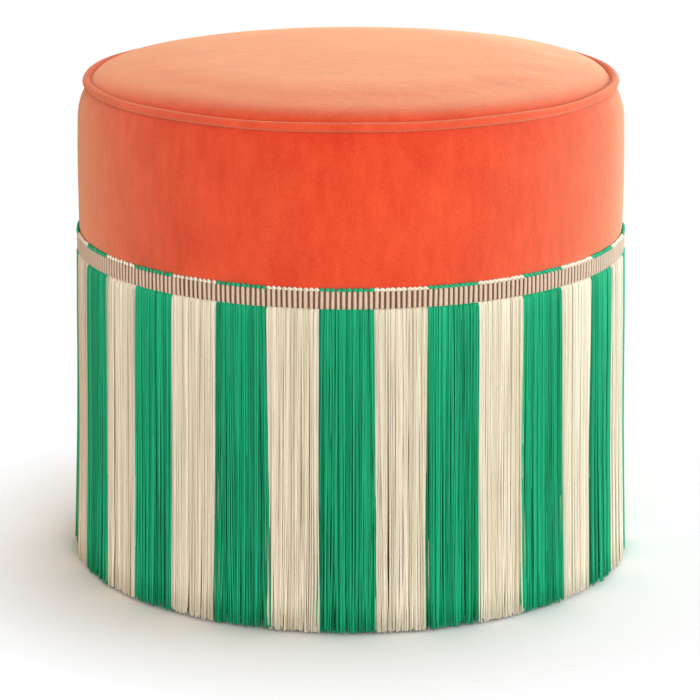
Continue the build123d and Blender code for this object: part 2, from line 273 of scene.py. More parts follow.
def grid_faces(rows: int, columns: int, wrap_rows: bool, wrap_columns: bool) -> np.ndarray:
    """Quads between neighbouring points of a grid.

    Args:
        rows: Points along the first parameter.
        columns: Points along the second parameter.
        wrap_rows: Whether the last row joins the first.
        wrap_columns: Whether the last column joins the first.

    Returns:
        Four point numbers a quad.
    """
    i = np.arange(rows if wrap_rows else rows - 1)[:, None]
    j = np.arange(columns if wrap_columns else columns - 1)[None, :]
    here, there = i * columns, (i + 1) % rows * columns
    after = (j + 1) % columns
    corners = (here + j, there + j, there + after, here + after)
    return np.stack(np.broadcast_arrays(*corners), axis=2).reshape(-1, 4)


def grid_normals(points: np.ndarray) -> np.ndarray:
    """Unit normals of a grid: the cross product of its differences along both parameters."""
    normals = np.cross(np.gradient(points, axis=0), np.gradient(points, axis=1))
    return normals / np.linalg.norm(normals, axis=2, keepdims=True)


def make_piece(
    name: str,
    points: np.ndarray,
    faces: np.ndarray,
    uv: np.ndarray | None = None,
    tone: np.ndarray | None = None,
) -> bpy.types.Object:
    """Mesh object from arrays, smooth shaded, in the scene.

    Args:
        name: Name of the piece.
        points: Vertex places, any shape that ends in 3.
        faces: Quads as rows of four vertex numbers.
        uv: Optional UV of each vertex.
        tone: Optional value of each vertex, kept as the attribute "tone".

    Returns:
        The new object.
    """
    mesh = bpy.data.meshes.new(name)
    mesh.from_pydata(points.reshape(-1, 3), [], faces.tolist())
    mesh.polygons.foreach_set("use_smooth", np.ones(len(mesh.polygons), dtype=bool))
    corners = np.empty(len(mesh.loops), dtype=np.int32)
    mesh.loops.foreach_get("vertex_index", corners)
    if uv is not None:
        layer = mesh.uv_layers.new(name="UVMap")
        layer.uv.foreach_set("vector", uv.reshape(-1, 2)[corners].astype(np.float32).ravel())
    if tone is not None:
        attribute = mesh.attributes.new("tone", "FLOAT", "POINT")
        attribute.data.foreach_set("value", tone.astype(np.float32).ravel())
    mesh.update()
    piece = bpy.data.objects.new(name, mesh)
    bpy.context.collection.objects.link(piece)
    return piece


def settle(
    piece: bpy.types.Object,
    material: bpy.types.Material,
    nodes: tuple[str, ...] = (),
) -> bpy.types.Object:
    """Puts a finished piece on the body, with its material and the nodes it stands for.

    Args:
        piece: The piece.
        material: Its finish.
        nodes: CAD nodes that it replaces.

    Returns:
        The same piece.
    """
    piece.data.materials.clear()
    piece.data.materials.append(material)
    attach(piece, BODY)
    if nodes:
        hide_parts(*nodes)
    LOG.info("%s: %d faces", piece.name, len(piece.data.polygons))
    return piece


def thicken(piece: bpy.types.Object, thickness: float) -> None:
    """Gives a sheet its thickness, inwards from its outer face.

    Args:
        piece: The sheet.
        thickness: Its thickness in metres.
    """
    wall = piece.modifiers.new("thickness", "SOLIDIFY")
    wall.thickness = thickness
    wall.offset = -1.0


# Share of a tube's radius that is left at its drawn-in ends.
DRAWN_IN = 0.05


def tubes(
    paths: np.ndarray, radii: np.ndarray, sides: int, radial: bool = False
) -> tuple[np.ndarray, np.ndarray, np.ndarray]:
    """Round tubes along many paths at once, closed at both ends by a drawn-in ring.

    A tube's section is a circle in the plane across its path, turned so that its first
    point lies on the side away from the ottoman's axis, or further round for radial paths.

    Args:
        paths: Points, strands by steps by 3.
        radii: Radius at each step, for one strand or for each.
        sides: Sides of the section.
        radial: Whether the paths run towards the axis somewhere.

    Returns:
        Points, quads and UV of every vertex; U runs along the tube in millimetres.
    """
    count, steps, _ = paths.shape
    along = np.gradient(paths, axis=1)
    along /= np.linalg.norm(along, axis=2, keepdims=True)
    outward = paths * np.array([1.0, 1.0, 0.0])
    if radial:
        outward = np.cross([0.0, 0.0, 1.0], outward)
    side = np.cross(along, outward)
    side /= np.linalg.norm(side, axis=2, keepdims=True)
    front = np.cross(side, along)
    ends = [(0, 0), (1, 1), (0, 0)]
    paths, side, front = (np.pad(array, ends, mode="edge") for array in (paths, side, front))
    radii = np.pad(np.broadcast_to(radii, (count, steps)), ends[:2], mode="edge")
    radii[:, [0, -1]] *= DRAWN_IN
    b = np.linspace(0, TAU, sides, endpoint=False)
    ring = np.cos(b)[:, None] * front[:, :, None, :] + np.sin(b)[:, None] * side[:, :, None, :]
    points = paths[:, :, None, :] + radii[:, :, None, None] * ring
    one = grid_faces(steps + 2, sides, False, True)
    shift = (np.arange(count) * (steps + 2) * sides)[:, None, None]
    gaps = np.linalg.norm(np.diff(paths, axis=1), axis=2)
    length = np.pad(np.cumsum(gaps, axis=1), [(0, 0), (1, 0)]) / MILLIMETRE
    u = np.broadcast_to(length[:, :, None], points.shape[:3])
    v = np.broadcast_to(np.arange(sides) / sides, points.shape[:3])
    return points, (one[None] + shift).reshape(-1, 4), np.stack([u, v], axis=3)


# Numbers of the Mix node's sockets where it mixes colours.
MIX_FACTOR, MIX_LOW, MIX_HIGH, MIX_RESULT = 0, 6, 7, 2


class Shader:
    """A material's node tree, with its main shader and output joined."""

    def __init__(self, name: str) -> None:
        """Starts the material with a Principled shader.

        Args:
            name: Name of the material.
        """
        self.material = bpy.data.materials.new(name)
        self.material.use_nodes = True
        self.tree = self.material.node_tree
        self.tree.nodes.clear()
        self.output = self.add("ShaderNodeOutputMaterial")
        self.main = self.add("ShaderNodeBsdfPrincipled")
        self.tree.links.new(self.main.outputs[0], self.output.inputs["Surface"])

    def add(self, kind: str, sockets: dict[str | int, Any] | None = None, **options: Any) -> bpy.types.Node:
        """New node, with its options set and its sockets set or linked.

        Args:
            kind: Blender's name of the node.
            sockets: Value, or output socket to link, by input name or number.
            **options: Properties of the node.

        Returns:
            The node.
        """
        node = self.tree.nodes.new(kind)
        for key, value in options.items():
            setattr(node, key, value)
        self.put(node, sockets or {})
        return node

    def put(self, node: bpy.types.Node, sockets: dict[str | int, Any]) -> None:
        """Sets or links input sockets of a node.

        Args:
            node: The node.
            sockets: Value, or output socket to link, by input name or number.
        """
        for key, value in sockets.items():
            if isinstance(value, Socket):
                self.tree.links.new(value, node.inputs[key])
            else:
                node.inputs[key].default_value = value

    def set(self, **sockets: Any) -> None:
        """Sets or links sockets of the main shader, spaces in names written as _."""
        self.put(self.main, {key.replace("_", " "): value for key, value in sockets.items()})

    def coords(self, scale: Triple = (1.0, 1.0, 1.0), source: str = "Object") -> Socket:
        """Object or UV coordinates, stretched by scale."""
        place = self.add("ShaderNodeTexCoord").outputs[source]
        return self.add("ShaderNodeMapping", {"Vector": place, "Scale": scale}).outputs[0]

    def noise(self, vector: Socket, scale: float, detail: float = 3.0, rough: float = 0.55) -> Socket:
        """Noise value of 0 to 1 on the given coordinates."""
        sockets = {"Vector": vector, "Scale": scale, "Detail": detail, "Roughness": rough}
        return self.add("ShaderNodeTexNoise", sockets).outputs[0]

    def bands(self, vector: Socket, scale: float, direction: str, bend: float = 0.5) -> Socket:
        """Smooth bands of 0 to 1 across a direction, slightly bent."""
        sockets = {"Vector": vector, "Scale": scale, "Distortion": bend, "Detail": 2.0}
        return self.add("ShaderNodeTexWave", sockets, bands_direction=direction).outputs["Fac"]

    def tone(self) -> Socket:
        """The piece's own "tone" attribute."""
        return self.add("ShaderNodeAttribute", attribute_name="tone").outputs["Fac"]

    def span(self, value: Socket, source: Span, target: Span) -> Socket:
        """Value carried linearly from one range to another, and clamped."""
        sockets = {0: value, 1: source[0], 2: source[1], 3: target[0], 4: target[1]}
        return self.add("ShaderNodeMapRange", sockets).outputs[0]

    def total(self, *values: Socket) -> Socket:
        """Adds values up, one after another.

        Args:
            *values: Sockets to add.

        Returns:
            Their sum.
        """
        result = values[0]
        for value in values[1:]:
            result = self.add("ShaderNodeMath", {0: result, 1: value}, operation="ADD").outputs[0]
        return result

    def blend(self, factor: Socket, low: Colour | Socket, high: Colour | Socket) -> Socket:
        """Mixes two colours.

        Args:
            factor: 0 for the low colour, 1 for the high one.
            low: First colour, or the socket that gives it.
            high: Second colour, or the socket that gives it.

        Returns:
            The mixed colour.
        """
        node = self.add("ShaderNodeMix", data_type="RGBA")
        colours = [(*c, 1.0) if isinstance(c, tuple) else c for c in (low, high)]
        self.put(node, {MIX_FACTOR: factor, MIX_LOW: colours[0], MIX_HIGH: colours[1]})
        return node.outputs[MIX_RESULT]

    def bump(self, height: Socket, depth: float, strength: float, below: Socket | None = None) -> Socket:
        """Raises the surface by a pattern.

        Args:
            height: Pattern of 0 to 1.
            depth: Height of the relief, in metres.
            strength: How much of the relief shows.
            below: Normal of the coarser relief that this one lies on.

        Returns:
            The raised surface's normal.
        """
        node = self.add("ShaderNodeBump", {"Height": height, "Distance": depth, "Strength": strength})
        if below is not None:
            self.put(node, {"Normal": below})
        return node.outputs[0]


# Range in which most of a noise lies, and the whole range of a factor.
MIDDLE_OF_NOISE: Span = (0.3, 0.7)
WHOLE: Span = (0.0, 1.0)


@dataclass(frozen=True)
class VelvetFinish:
    """Short-pile velvet: brushed patches, fine grain and a pale sheen at grazing angles."""

    name: str = "orange_velvet"
    deep: Colour = (0.70, 0.042, 0.013)
    bright: Colour = (0.91, 0.100, 0.036)
    sheen: float = 1.0
    sheen_spread: float = 0.52
    sheen_tint: Colour = (1.0, 0.665, 0.42)
    patch_stretch: Triple = (1.0, 1.0, 0.65)
    patch_scale: float = 26.0
    patch_tone: Span = (0.20, 0.80)
    patch_depth: float = 0.0005
    stroke_stretch: Triple = (1.0, 1.0, 0.30)
    stroke_scale: float = 120.0
    stroke_tone: Span = (-0.18, 0.18)
    stroke_depth: float = 0.0005
    grain_scale: float = 800.0
    grain_tone: Span = (-0.25, 0.25)
    grain_depth: float = 0.00045
    rough: Span = (0.82, 0.95)

    def make(self) -> bpy.types.Material:
        """Soft patches, strokes and grain, each finer than the last, set the tone and the bump.

        Returns:
            The material.
        """
        s = Shader(self.name)
        patches = s.noise(s.coords(self.patch_stretch), self.patch_scale, detail=6.0, rough=0.62)
        strokes = s.noise(s.coords(self.stroke_stretch), self.stroke_scale, detail=4.0, rough=0.60)
        grain = s.noise(s.coords(), self.grain_scale, rough=0.7)
        tone = s.total(
            s.span(patches, MIDDLE_OF_NOISE, self.patch_tone),
            s.span(strokes, MIDDLE_OF_NOISE, self.stroke_tone),
            s.span(grain, MIDDLE_OF_NOISE, self.grain_tone),
            s.tone(),
        )
        s.set(Base_Color=s.blend(tone, self.deep, self.bright))
        s.set(Roughness=s.span(patches, MIDDLE_OF_NOISE, self.rough), Specular_IOR_Level=0.12)
        s.set(Sheen_Weight=self.sheen, Sheen_Roughness=self.sheen_spread)
        s.set(Sheen_Tint=(*self.sheen_tint, 1.0))
        lean = s.bump(patches, self.patch_depth, strength=0.40)
        brushed = s.bump(strokes, self.stroke_depth, strength=0.55, below=lean)
        s.set(Normal=s.bump(grain, self.grain_depth, strength=0.70, below=brushed))
        return s.material


@dataclass(frozen=True)
class YarnFinish:
    """Smooth silky yarn: each strand has its own tone, and a fine twist."""

    name: str
    dark: Colour
    light: Colour
    gloss: float
    streak_stretch: Triple = (1.0, 1.0, 0.06)
    streak_scale: float = 900.0
    streak_tone: Span = (-0.14, 0.14)
    rough: Span = (0.42, 0.58)
    twist_stretch: Triple = (1.0, 0.35, 1.0)
    twist_scale: float = 3.0
    twist_depth: float = 0.00008

    def make(self) -> bpy.types.Material:
        """Tone of the strand, streaked along it, with a slanting twist as bump.

        Returns:
            The material.
        """
        s = Shader(self.name)
        streak = s.noise(s.coords(self.streak_stretch), self.streak_scale, detail=2.0)
        tone = s.total(s.tone(), s.span(streak, MIDDLE_OF_NOISE, self.streak_tone))
        s.set(Base_Color=s.blend(tone, self.dark, self.light))
        s.set(Roughness=s.span(streak, MIDDLE_OF_NOISE, self.rough), Specular_IOR_Level=self.gloss)
        twist = s.bands(s.coords(self.twist_stretch, "UV"), self.twist_scale, "DIAGONAL")
        s.set(Normal=s.bump(twist, self.twist_depth, strength=0.35))
        return s.material


@dataclass(frozen=True)
class TapeFinish:
    """Ribbed woven tape: pale wound ribs, a dark ground between them that is partly the tape's own threads
    and partly painted shade in the recesses, fine threads.
    """

    name: str = "taupe_tape"
    # Dark ground between the ribs: partly the tape's own threads, partly painted shade in the recesses.
    ground_and_recess_shade: Colour = (0.15, 0.080, 0.042)
    rib: Colour = (0.68, 0.49, 0.37)
    thread: Colour = (0.84, 0.66, 0.53)
    # Painted shade down the rib's sides: the range of rib height over which the rib fades to the dark
    # ground.
    rib_side_shade: Span = (0.10, 0.60)
    thread_scale: float = 330.0
    thread_bend: float = 1.5
    thread_depth: float = 0.00022
    fibre_scale: float = 1300.0
    fibre_depth: float = 0.00015
    rough: Span = (0.62, 0.82)

    def make(self) -> bpy.types.Material:
        """The tone attribute is the rib's height; low places get the dark ground with painted shade, which
        also darkens down the rib's sides; threads wind across each rib.

        Returns:
            The material.
        """
        s = Shader(self.name)
        threads = s.bands(s.coords(), self.thread_scale, "Z", self.thread_bend)
        fibre = s.noise(s.coords(), self.fibre_scale)
        rib = s.blend(s.span(fibre, MIDDLE_OF_NOISE, WHOLE), self.rib, self.thread)
        s.set(Base_Color=s.blend(s.span(s.tone(), self.rib_side_shade, WHOLE), self.ground_and_recess_shade, rib))
        s.set(Roughness=s.span(fibre, MIDDLE_OF_NOISE, self.rough), Specular_IOR_Level=0.25)
        s.set(Sheen_Weight=0.2, Sheen_Roughness=0.4)
        wound = s.bump(threads, self.thread_depth, strength=0.6)
        s.set(Normal=s.bump(fibre, self.fibre_depth, strength=0.5, below=wound))
        return s.material


@dataclass(frozen=True)
class TimberFinish:
    """Bare timber or board, with rings or plies drawn by stretched noise."""

    name: str
    pale: Colour
    dark: Colour
    grain: GrainAxis
    ring_scale: float
    ply: float = 0.0
    fibre_ratio: float = 14.0
    figure_tone: Span = (0.0, 0.8)
    fibre_tone: Span = (-0.15, 0.35)
    fibre_depth: float = 0.0003
    ply_edge: Span = (0.35, 0.65)
    ply_tone: Span = (-0.2, 0.3)
    rough: Span = (0.55, 0.75)

    def make(self) -> bpy.types.Material:
        """Stretched noise makes the figure and fibre; ply adds bands up the edge.

        Returns:
            The material.
        """
        s = Shader(self.name)
        place = s.coords(self.grain.value)
        figure = s.noise(place, self.ring_scale, detail=4.0, rough=0.6)
        fibre = s.noise(place, self.ring_scale * self.fibre_ratio)
        tones = [s.span(figure, MIDDLE_OF_NOISE, self.figure_tone)]
        tones.append(s.span(fibre, MIDDLE_OF_NOISE, self.fibre_tone))
        if self.ply:
            tones.append(s.span(s.bands(s.coords(), self.ply, "Z"), self.ply_edge, self.ply_tone))
        s.set(Base_Color=s.blend(s.total(*tones), self.pale, self.dark))
        s.set(Roughness=s.span(fibre, MIDDLE_OF_NOISE, self.rough))
        s.set(Normal=s.bump(fibre, self.fibre_depth, strength=0.4))
        return s.material


@dataclass(frozen=True)
class GrainFinish:
    """A speckled finish: foam cells, wadding fluff, plain cloth, nylon or zinc."""

    name: str
    dark: Colour
    light: Colour
    scale: float
    depth: float
    rough: Span
    metallic: float = 0.0
    sheen: float = 0.0
    cloud_ratio: float = 18.0
    cell_tone: Span = (0.0, 0.7)
    cloud_tone: Span = (0.0, 0.3)

    def make(self) -> bpy.types.Material:
        """Two sizes of noise set the tone, roughness and bump.

        Returns:
            The material.
        """
        s = Shader(self.name)
        cells = s.noise(s.coords(), self.scale, detail=4.0, rough=0.65)
        clouds = s.noise(s.coords(), self.scale / self.cloud_ratio, detail=2.0)
        fine = s.span(cells, MIDDLE_OF_NOISE, self.cell_tone)
        broad = s.span(clouds, MIDDLE_OF_NOISE, self.cloud_tone)
        tone = s.total(fine, broad)
        s.set(Base_Color=s.blend(tone, self.dark, self.light), Metallic=self.metallic)
        s.set(Roughness=s.span(cells, MIDDLE_OF_NOISE, self.rough), Sheen_Weight=self.sheen)
        s.set(Normal=s.bump(cells, self.depth, strength=0.6))
        return s.material


@dataclass(frozen=True)
class LiningFinish:
    """Plain-woven dark cotton, whose near-black colour is partly painted shade for the gaps between the
    fringe's yarns: two crossed sets of threads.
    """

    name: str = "lining_cloth"
    # Near black: partly the lining's own colour, partly painted shade seen between the fringe's yarns.
    dark: Colour = (0.016, 0.013, 0.011)
    light: Colour = (0.050, 0.042, 0.036)
    thread_scale: float = 260.0
    thread_bend: float = 0.8
    thread_tone: Span = (0.0, 0.35)
    thread_depth: float = 0.0002
    fluff_scale: float = 700.0
    fluff_tone: Span = (0.0, 0.3)
    rough: Span = (0.80, 0.95)

    def make(self) -> bpy.types.Material:
        """Bands round and up the drum are the threads; noise varies their tone.

        Returns:
            The material.
        """
        s = Shader(self.name)
        warp = s.bands(s.coords((1.0, 1.0, 0.0)), self.thread_scale, "DIAGONAL", self.thread_bend)
        weft = s.bands(s.coords(), self.thread_scale, "Z", self.thread_bend)
        fluff = s.noise(s.coords(), self.fluff_scale)
        woven = s.total(s.span(warp, WHOLE, self.thread_tone), s.span(weft, WHOLE, self.thread_tone))
        tone = s.total(woven, s.span(fluff, MIDDLE_OF_NOISE, self.fluff_tone))
        s.set(Base_Color=s.blend(tone, self.dark, self.light), Specular_IOR_Level=0.2)
        s.set(Roughness=s.span(fluff, MIDDLE_OF_NOISE, self.rough))
        s.set(Normal=s.bump(woven, self.thread_depth, strength=0.5))
        return s.material


class Finishes:
    """Every finish of the ottoman, made once."""

    def __init__(self) -> None:
        """Makes the materials by name, which is also the record's slot for all but the piping's."""
        steel = ((0.48, 0.49, 0.51), (0.74, 0.75, 0.76), 600.0, 0.00002, (0.28, 0.45), 1.0)
        foam = ((0.78, 0.73, 0.55), (0.92, 0.89, 0.76), 700.0, 0.0006, (0.85, 0.95))
        wadding = ((0.78, 0.78, 0.76), (0.94, 0.94, 0.93), 260.0, 0.0010, (0.88, 0.96), 0.0, 0.4)
        cord = ((0.55, 0.50, 0.42), (0.80, 0.77, 0.68), 500.0, 0.0003, (0.75, 0.90))
        black_cloth = ((0.012, 0.012, 0.013), (0.055, 0.055, 0.060), 1100.0, 0.0002, (0.75, 0.92))
        nylon = ((0.05, 0.05, 0.052), (0.11, 0.11, 0.112), 900.0, 0.00006, (0.38, 0.52))
        plywood = ((0.78, 0.62, 0.42), (0.55, 0.38, 0.22), GrainAxis.X, 5.0, 42.0)
        hardboard = ((0.36, 0.23, 0.13), (0.22, 0.13, 0.07), GrainAxis.Z, 30.0)
        pine = ((0.83, 0.66, 0.43), (0.60, 0.40, 0.21), GrainAxis.Z, 6.0)
        recipes = (
            VelvetFinish(),
            VelvetFinish("stretched_velvet", sheen=0.6, sheen_spread=0.65),
            TapeFinish(),
            LiningFinish(),
            YarnFinish("green_yarn", (0.000, 0.175, 0.062), (0.014, 0.545, 0.266), 0.22),
            YarnFinish("cream_yarn", (0.760, 0.650, 0.470), (0.970, 0.905, 0.760), 0.18),
            TimberFinish("plywood", *plywood),
            TimberFinish("hardboard", *hardboard),
            TimberFinish("pine", *pine),
            GrainFinish("zinc_steel", *steel),
            GrainFinish("foam", *foam),
            GrainFinish("wadding", *wadding),
            GrainFinish("piping_cord", *cord),
            GrainFinish("dust_cover_cloth", *black_cloth),
            GrainFinish("glide_plastic", *nylon),
        )
        self.made: dict[str, bpy.types.Material] = {recipe.name: recipe.make() for recipe in recipes}

    def __getitem__(self, name: str) -> bpy.types.Material:
        """The material of that name."""
        return self.made[name]


@dataclass
class ClothPress:
    """Cloth simulation that swells a stretched cover between its fixed edges."""

    pressure: float = 4.0
    frames: int = 20
    cap: float = 0.0025
    evening: int = 0

    def evened(self, move: np.ndarray, loose: np.ndarray) -> np.ndarray:
        """Moves averaged with their four neighbours, as the wadding irons out small wrinkles.

        Args:
            move: Moves of the vertices, as a grid.
            loose: 1 for each vertex that is free to move, 0 along a seam.

        Returns:
            The averaged moves, still nothing along the seams.
        """
        for _ in range(self.evening):
            wide = np.pad(move, [(1, 1), (1, 1), (0, 0)], mode="edge")
            beside = wide[:-2, 1:-1] + wide[2:, 1:-1] + wide[1:-1, :-2] + wide[1:-1, 2:]
            move = beside / 4 * loose
        return move

    def swell(
        self, points: np.ndarray, faces: np.ndarray, fixed: np.ndarray, outward: np.ndarray
    ) -> np.ndarray:
        """Swells the cover by air pressure with no gravity, and caps each move.

        The padding holds the cover from behind, so the part of a move that goes inwards is
        dropped. A move of length d becomes cap * tanh(d / cap), and never passes the cap.

        Args:
            points: Start places of the vertices, as a grid.
            faces: Quads that face outwards.
            fixed: True for each vertex that a seam holds.
            outward: Unit normals that point away from the padding.

        Returns:
            The swollen places, in the shape of points.
        """
        start = points.reshape(-1, 3)
        cover = make_piece("cover_in_press", start, faces)
        held = cover.vertex_groups.new(name="held")
        held.add(np.flatnonzero(fixed).tolist(), 1.0, "REPLACE")
        rules = cover.modifiers.new("press", "CLOTH").settings
        rules.vertex_group_mass = "held"
        rules.quality = 6
        rules.mass = 0.3
        rules.tension_stiffness = rules.compression_stiffness = 25.0
        rules.shear_stiffness = 12.0
        rules.bending_stiffness = 2.0
        rules.use_pressure = True
        rules.uniform_pressure_force = self.pressure
        rules.effector_weights.gravity = 0.0
        scene = bpy.context.scene
        for number in range(1, self.frames + 1):
            scene.frame_set(number)
        swollen = cover.evaluated_get(bpy.context.evaluated_depsgraph_get()).to_mesh()
        places = np.empty(start.size, dtype=np.float32)
        swollen.vertices.foreach_get("co", places)
        scene.frame_set(1)
        mesh = cover.data
        bpy.data.objects.remove(cover)
        bpy.data.meshes.remove(mesh)
        move = places.reshape(points.shape) - points
        lift = (move * outward).sum(axis=2, keepdims=True)
        move = move - np.minimum(lift, 0.0) * outward
        move = self.evened(move, ~fixed.reshape(*points.shape[:2], 1))
        length = np.linalg.norm(move, axis=2, keepdims=True)
        LOG.info("cover swelled by up to %.2f mm", float(length.max()) / MILLIMETRE)
        share = self.cap * np.tanh(length / self.cap) / np.maximum(length, 1e-9)
        return points + move * share


@dataclass
class SeatTop:
    """Crowned velvet panel that fills the piped ring."""

    cells: int = 96
    dip: float = 0.0012
    dip_width: float = 0.003
    roll_rise: float = 1.3
    roll_width: float = 5.2
    tuck: float = 0.0009
    slack: float = 0.0006
    unevenness: float = 0.00008
    uneven_pull: float = 1.5
    uneven_seed: int = 5
    cap: float = 0.0012
    evening: int = 10
    rolls: ClassVar[tuple[float, ...]] = (0.0058, 0.0060, 0.0046, 0.0046, 0.0055, 0.0078, 0.0075, 0.0062)

    def surface(self) -> np.ndarray:
        """Square grid drawn out to a disc, laid on the crown, puffed up beside the seam.

        Each square ring of the grid becomes a circle of the same reach. With gap the
        distance from the seam, the height is the crown's, less a dip of exp(-gap / width),
        plus a roll that rises as 1 - exp(-gap / rise) and dies off as exp(-gap / width).
        The roll's height is given at each eighth of a turn, and its rise and width go with
        it. Slack lowers the panel by the root of a half sine from the middle to the edge, to
        leave room for the press. The edge goes a little past the seam, into the piping.

        Returns:
            Grid of points.
        """
        t = np.linspace(-1.0, 1.0, self.cells + 1)
        a, b = np.meshgrid(t, t, indexing="ij")
        wide = np.abs(a) >= np.abs(b)
        share = np.maximum(np.abs(a), np.abs(b))
        along = np.where(wide, b / np.where(a == 0, 1, a), a / np.where(b == 0, 1, b)) * math.pi / 4
        turn = np.where(wide, along, math.pi / 2 - along)
        r = share * (SIZES.seam_radius + self.tuck)
        sign = np.where(wide, np.sign(a), np.sign(b))
        x, y = sign * r * np.cos(turn), sign * r * np.sin(turn)
        gap = SIZES.seam_radius - r
        angle = np.arctan2(y, x)
        eighths = np.arange(len(self.rolls)) * TAU / len(self.rolls)
        high = np.interp(angle, eighths, self.rolls, period=TAU)
        roll = high * (1 - np.exp(-gap / high / self.roll_rise)) * np.exp(-gap / high / self.roll_width)
        z = SIZES.crown(r) - self.dip * np.exp(-gap / self.dip_width) + roll
        z = z - self.slack * np.sqrt(np.sin(math.pi * np.clip(share, 0, 1)))
        z = z + self.unevenness * smooth_noise(angle, r * self.uneven_pull, self.uneven_seed) * share
        return np.stack([x, y, z], axis=2)

    def build(self, finishes: Finishes) -> bpy.types.Object:
        """Swells the panel from its sewn edge, thickens it and smooths it.

        Args:
            finishes: The materials.

        Returns:
            The panel.
        """
        points = self.surface()
        n = self.cells + 1
        faces = grid_faces(n, n, False, False)
        rim = np.ones((n, n), dtype=bool)
        rim[1:-1, 1:-1] = False
        press = ClothPress(cap=self.cap, evening=self.evening)
        points = press.swell(points, faces, rim.ravel(), grid_normals(points))
        panel = make_piece("seat_cover_velvet", points, faces)
        thicken(panel, SIZES.velvet)
        soft = panel.modifiers.new("smooth", "SUBSURF")
        soft.levels = soft.render_levels = 1
        settle(panel, finishes["orange_velvet"], ("seat_cover",))
        return panel


@dataclass
class SideBand:
    """Velvet side: from under the piping, over the shoulder, down behind the tape."""

    columns: int = 480
    shoulder_steps: int = 14
    bow_steps: int = 20
    tuck_steps: int = 7
    behind_steps: int = 4
    clearance: float = 0.0001
    hugged: int = 6
    hug_from: float = math.radians(196.0)
    hug_to: float = math.radians(262.0)
    tuck_above: float = 0.0012
    tuck_hollow: float = 0.28
    eased_rows: float = 8.0
    # Painted shade under the piping: how far the velvet's tone drops at the seam, and the height over which
    # it fades.
    piping_shade: float = 0.60
    piping_shade_width: float = 0.013
    inset: float = 0.0006
    unevenness: float = 0.0003
    uneven_pull: float = 0.05
    uneven_seed: int = 11
    pucker: float = 0.00015
    pucker_turns: int = 9
    pucker_pull: float = 0.02
    pucker_seed: int = 23
    pucker_middle: float = 0.10
    pucker_width: float = 0.12
    cap: float = 0.0014

    def profile(self) -> np.ndarray:
        """Round the piping's underside, over the shoulder, down, and in behind the loops.

        Returns:
            Points as (radius, height), in four arcs and a straight run.
        """
        s = SIZES
        near = s.piping_radius + self.clearance
        turn = np.linspace(self.hug_from, self.hug_to, self.hugged)
        under_r = s.seam_radius + s.piping_radius + near * np.cos(turn)
        under = np.stack([under_r, s.piping_height + near * np.sin(turn)], axis=1)
        shoulder = (s.swell_radius, s.seam_height - s.shoulder_drop)
        across = shoulder[0] - under[-1, 0]
        drop = under[-1, 1] - shoulder[1]
        radius = (across**2 + drop**2) / (2 * across)
        half = math.asin(drop / radius) / 2
        middle = (shoulder[0] - radius * (1 - math.cos(half)), shoulder[1] + radius * math.sin(half))
        tuck = (s.swell_radius, s.picot_top + self.tuck_above)
        bow_middle = (s.side_reach, (shoulder[1] + tuck[1]) / 2)
        tuck_middle = (s.swell_radius - self.tuck_hollow * s.swell, (tuck[1] + s.tape_top) / 2)
        behind = (s.band_radius, s.tape_top)
        return joined(
            under,
            arc(tuple(under[-1]), middle, shoulder, self.shoulder_steps),
            arc(shoulder, bow_middle, tuck, self.bow_steps),
            arc(tuck, tuck_middle, behind, self.tuck_steps),
            straight(behind, (s.band_radius, s.velvet_bottom), self.behind_steps),
        )

    def build(self, finishes: Finishes) -> bpy.types.Object:
        """Swells the side between its piped seam and the tape, and thickens it.

        Puckers are deepest a little below the piping and die off as exp(-distance / width).
        Painted shade falls on the velvet under the piping: its tone drops by up to the shade's amount, as
        exp(-depth / width).

        Args:
            finishes: The materials.

        Returns:
            The side band.
        """
        profile = self.profile()
        rows = np.arange(len(profile))
        held = (rows < self.hugged) | (profile[:, 1] < SIZES.picot_top)
        last_loose = np.flatnonzero(~held)[-1]
        from_seams = np.minimum(rows - self.hugged + 1, last_loose + 1 - rows)
        loose = np.clip(from_seams / self.eased_rows, 0, 1)
        grid = turned(profile, self.columns)
        angle = np.arctan2(grid[:, :, 1], grid[:, :, 0])
        below = (SIZES.seam_height - grid[:, :, 2]) / DECIMETRE
        waves = smooth_noise(angle, below * self.uneven_pull, self.uneven_seed)
        uneven = self.unevenness * waves - self.inset
        folds = smooth_noise(angle * self.pucker_turns, below * self.pucker_pull, self.pucker_seed)
        puckers = self.pucker * folds * np.exp(-np.abs(below - self.pucker_middle) / self.pucker_width)
        grid[:, :, :2] *= (1 + (uneven + puckers) * loose / SIZES.swell_radius)[:, :, None]
        faces = grid_faces(self.columns, len(profile), True, False)[:, ::-1]
        fixed = np.broadcast_to(held, (self.columns, len(profile)))
        grid = ClothPress(cap=self.cap).swell(grid, faces, fixed.ravel(), -grid_normals(grid))
        # Painted shade: the tone drops just under the piping and fades downwards.
        painted_piping_shade = -self.piping_shade * np.exp((grid[:, :, 2] - SIZES.seam_height) / self.piping_shade_width)
        band = make_piece("side_band_velvet", grid, faces, tone=np.clip(painted_piping_shade, -self.piping_shade, 0))
        thicken(band, SIZES.velvet)
        settle(band, finishes["orange_velvet"], ("side_band",))
        return band


